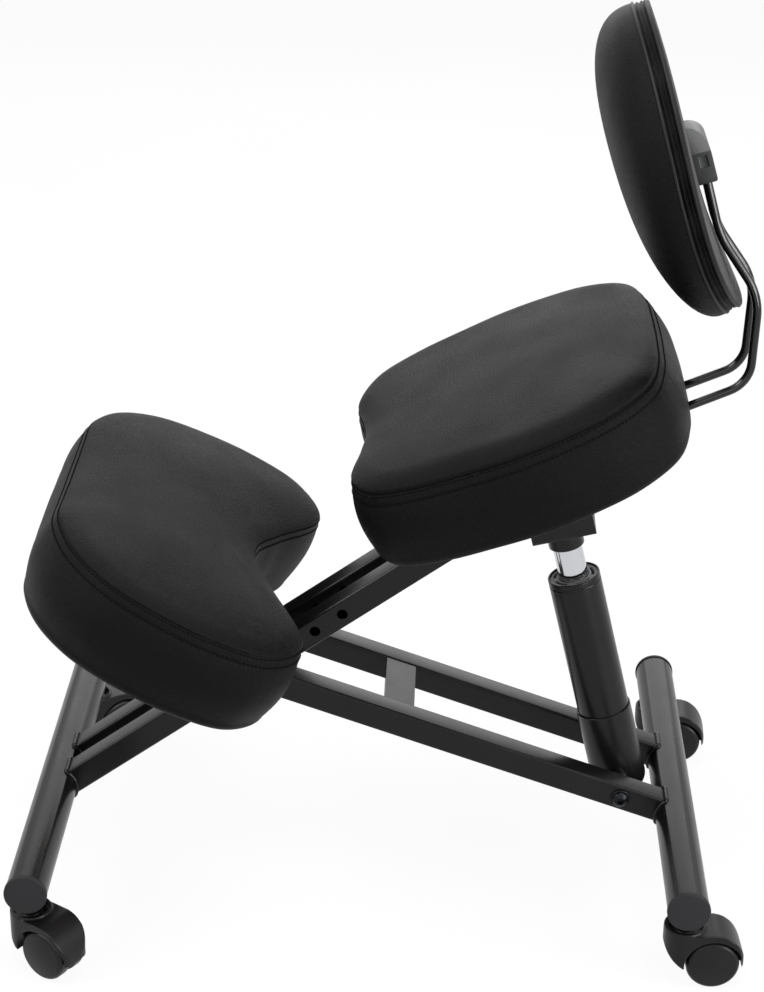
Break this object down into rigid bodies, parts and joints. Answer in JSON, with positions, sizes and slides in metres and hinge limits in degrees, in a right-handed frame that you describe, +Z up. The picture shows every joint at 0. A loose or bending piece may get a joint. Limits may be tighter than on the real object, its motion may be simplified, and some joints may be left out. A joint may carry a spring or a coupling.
{
  "type": "kneeling chair",
  "caption": "Kneeling chair with crossed square rails, a gas lift, seat and knee pads, a small backrest on a bent rod, and twin-wheel casters.",
  "frame": {"origin": "centre of the footprint on the floor, between the four casters", "axes": "+Z up, -Y toward the front where the knee pad is, +X toward the left side of a person on the chair"},
  "size_m": [0.487, 0.6756, 0.8589],
  "materials": {
    "black_frame": "satin black powder coat",
    "grey_caps": "matt dark grey",
    "steel_hardware": "zinc plated",
    "nylon": "light grey",
    "plywood": "clear birch",
    "black_upholstery": "fine-grained black synthetic leather",
    "chrome": "polished",
    "black_plastic": "satin black",
    "wheel_rubber": "black"
  },
  "bodies": {
    "knee_frame": {"rear_cross_tube": "black_frame", "left_rear_end_cap": "grey_caps", "right_rear_end_cap": "grey_caps", "left_knee_rail": "black_frame", "right_knee_rail": "black_frame", "rail_cross_plate": "black_frame", "pivot_bolt": "steel_hardware", "pivot_nut": "steel_hardware", "left_pivot_washer": "nylon", "right_pivot_washer": "nylon", "column_bolt": "steel_hardware", "column_nut": "steel_hardware", "knee_mount": "black_frame", "knee_board": "plywood", "knee_cushion": "black_upholstery", "rear_left_caster_stem": "steel_hardware", "rear_right_caster_stem": "steel_hardware"},
    "seat_frame": {"front_cross_tube": "black_frame", "left_front_end_cap": "grey_caps", "right_front_end_cap": "grey_caps", "left_seat_rail": "black_frame", "right_seat_rail": "black_frame", "lift_bolt": "steel_hardware", "lift_nut": "steel_hardware", "seat_mount": "black_frame", "seat_board": "plywood", "seat_cushion": "black_upholstery", "rod_clamp": "black_frame", "backrest_rod": "black_frame", "rod_housing": "black_plastic", "backrest_shell": "black_plastic", "backrest_cushion": "black_upholstery", "front_left_caster_stem": "steel_hardware", "front_right_caster_stem": "steel_hardware"},
    "gas_column": {"column_cup": "black_frame", "column_tube": "black_frame", "guide_bushing": "nylon", "piston_rod": "steel_hardware"},
    "gas_cylinder": {"gas_cylinder": "chrome", "taper_socket": "black_frame", "lift_bracket": "black_frame", "lever_pin": "steel_hardware"},
    "valve_button": {"valve_button": "steel_hardware"},
    "release_lever": {"release_lever": "black_plastic"},
    "front_left_caster": {"front_left_caster_hood": "black_plastic", "front_left_caster_axle": "steel_hardware"},
    "front_left_caster_wheel_left": {"front_left_caster_wheel_left": "wheel_rubber"},
    "front_left_caster_wheel_right": {"front_left_caster_wheel_right": "wheel_rubber"},
    "front_right_caster": {"front_right_caster_hood": "black_plastic", "front_right_caster_axle": "steel_hardware"},
    "front_right_caster_wheel_left": {"front_right_caster_wheel_left": "wheel_rubber"},
    "front_right_caster_wheel_right": {"front_right_caster_wheel_right": "wheel_rubber"},
    "rear_left_caster": {"rear_left_caster_hood": "black_plastic", "rear_left_caster_axle": "steel_hardware"},
    "rear_left_caster_wheel_left": {"rear_left_caster_wheel_left": "wheel_rubber"},
    "rear_left_caster_wheel_right": {"rear_left_caster_wheel_right": "wheel_rubber"},
    "rear_right_caster": {"rear_right_caster_hood": "black_plastic", "rear_right_caster_axle": "steel_hardware"},
    "rear_right_caster_wheel_left": {"rear_right_caster_wheel_left": "wheel_rubber"},
    "rear_right_caster_wheel_right": {"rear_right_caster_wheel_right": "wheel_rubber"}
  },
  "joints": [
    {"name": "seat_height", "type": "hinge", "parent": "knee_frame", "child": "seat_frame", "pos_m": [0, -0.11705, 0.22801], "axis": [1, 0, 0], "range_deg": [-3.6, 11.6]},
    {"name": "column_swing", "type": "hinge", "parent": "knee_frame", "child": "gas_column", "pos_m": [0, 0.22895, 0.10684], "axis": [1, 0, 0], "range_deg": [-1.6, 4.8]},
    {"name": "cylinder_slide", "type": "slide", "parent": "gas_column", "child": "gas_cylinder", "axis": [0, -0.2377, 0.9713], "range_m": [-0.0195, 0.0625]},
    {"name": "valve_press", "type": "slide", "parent": "gas_cylinder", "child": "valve_button", "axis": [0, -0.2377, 0.9713], "range_m": [-0.004, 0]},
    {"name": "release_lever_tilt", "type": "hinge", "parent": "gas_cylinder", "child": "release_lever", "pos_m": [-0.0519, 0.1573, 0.39964], "axis": [0, 0.9713, 0.2377], "range_deg": [0, 4.2], "stiffness_Nm_per_rad": 2, "springref_deg": -2.86},
    {"name": "front_left_swivel", "type": "hinge", "parent": "seat_frame", "child": "front_left_caster", "pos_m": [0.2015, -0.31826, 0.062], "axis": [0, 0, 1], "continuous": true},
    {"name": "front_left_wheel_left_roll", "type": "hinge", "parent": "front_left_caster", "child": "front_left_caster_wheel_left", "pos_m": [0.21576, -0.29712, 0.02469], "axis": [0.829, -0.5592, 0], "continuous": true},
    {"name": "front_left_wheel_right_roll", "type": "hinge", "parent": "front_left_caster", "child": "front_left_caster_wheel_right", "pos_m": [0.21576, -0.29712, 0.02469], "axis": [0.829, -0.5592, 0], "continuous": true},
    {"name": "front_right_swivel", "type": "hinge", "parent": "seat_frame", "child": "front_right_caster", "pos_m": [-0.2015, -0.31826, 0.062], "axis": [0, 0, 1], "continuous": true},
    {"name": "front_right_wheel_left_roll", "type": "hinge", "parent": "front_right_caster", "child": "front_right_caster_wheel_left", "pos_m": [-0.21576, -0.29712, 0.02469], "axis": [0.829, 0.5592, 0], "continuous": true},
    {"name": "front_right_wheel_right_roll", "type": "hinge", "parent": "front_right_caster", "child": "front_right_caster_wheel_right", "pos_m": [-0.21576, -0.29712, 0.02469], "axis": [0.829, 0.5592, 0], "continuous": true},
    {"name": "rear_left_swivel", "type": "hinge", "parent": "knee_frame", "child": "rear_left_caster", "pos_m": [0.2015, 0.28274, 0.062], "axis": [0, 0, 1], "continuous": true},
    {"name": "rear_left_wheel_left_roll", "type": "hinge", "parent": "rear_left_caster", "child": "rear_left_caster_wheel_left", "pos_m": [0.20017, 0.30821, 0.02469], "axis": [0.9986, 0.0523, 0], "continuous": true},
    {"name": "rear_left_wheel_right_roll", "type": "hinge", "parent": "rear_left_caster", "child": "rear_left_caster_wheel_right", "pos_m": [0.20017, 0.30821, 0.02469], "axis": [0.9986, 0.0523, 0], "continuous": true},
    {"name": "rear_right_swivel", "type": "hinge", "parent": "knee_frame", "child": "rear_right_caster", "pos_m": [-0.2015, 0.28274, 0.062], "axis": [0, 0, 1], "continuous": true},
    {"name": "rear_right_wheel_left_roll", "type": "hinge", "parent": "rear_right_caster", "child": "rear_right_caster_wheel_left", "pos_m": [-0.20017, 0.30821, 0.02469], "axis": [0.9986, -0.0523, 0], "continuous": true},
    {"name": "rear_right_wheel_right_roll", "type": "hinge", "parent": "rear_right_caster", "child": "rear_right_caster_wheel_right", "pos_m": [-0.20017, 0.30821, 0.02469], "axis": [0.9986, -0.0523, 0], "continuous": true}
  ],
  "couplings": [
    {"joint": "column_swing", "follows": "seat_height", "ratio": 0.399},
    {"joint": "cylinder_slide", "follows": "seat_height", "m_per_rad": 0.3014},
    {"joint": "valve_press", "follows": "release_lever_tilt", "m_per_rad": -0.0519}
  ]
}
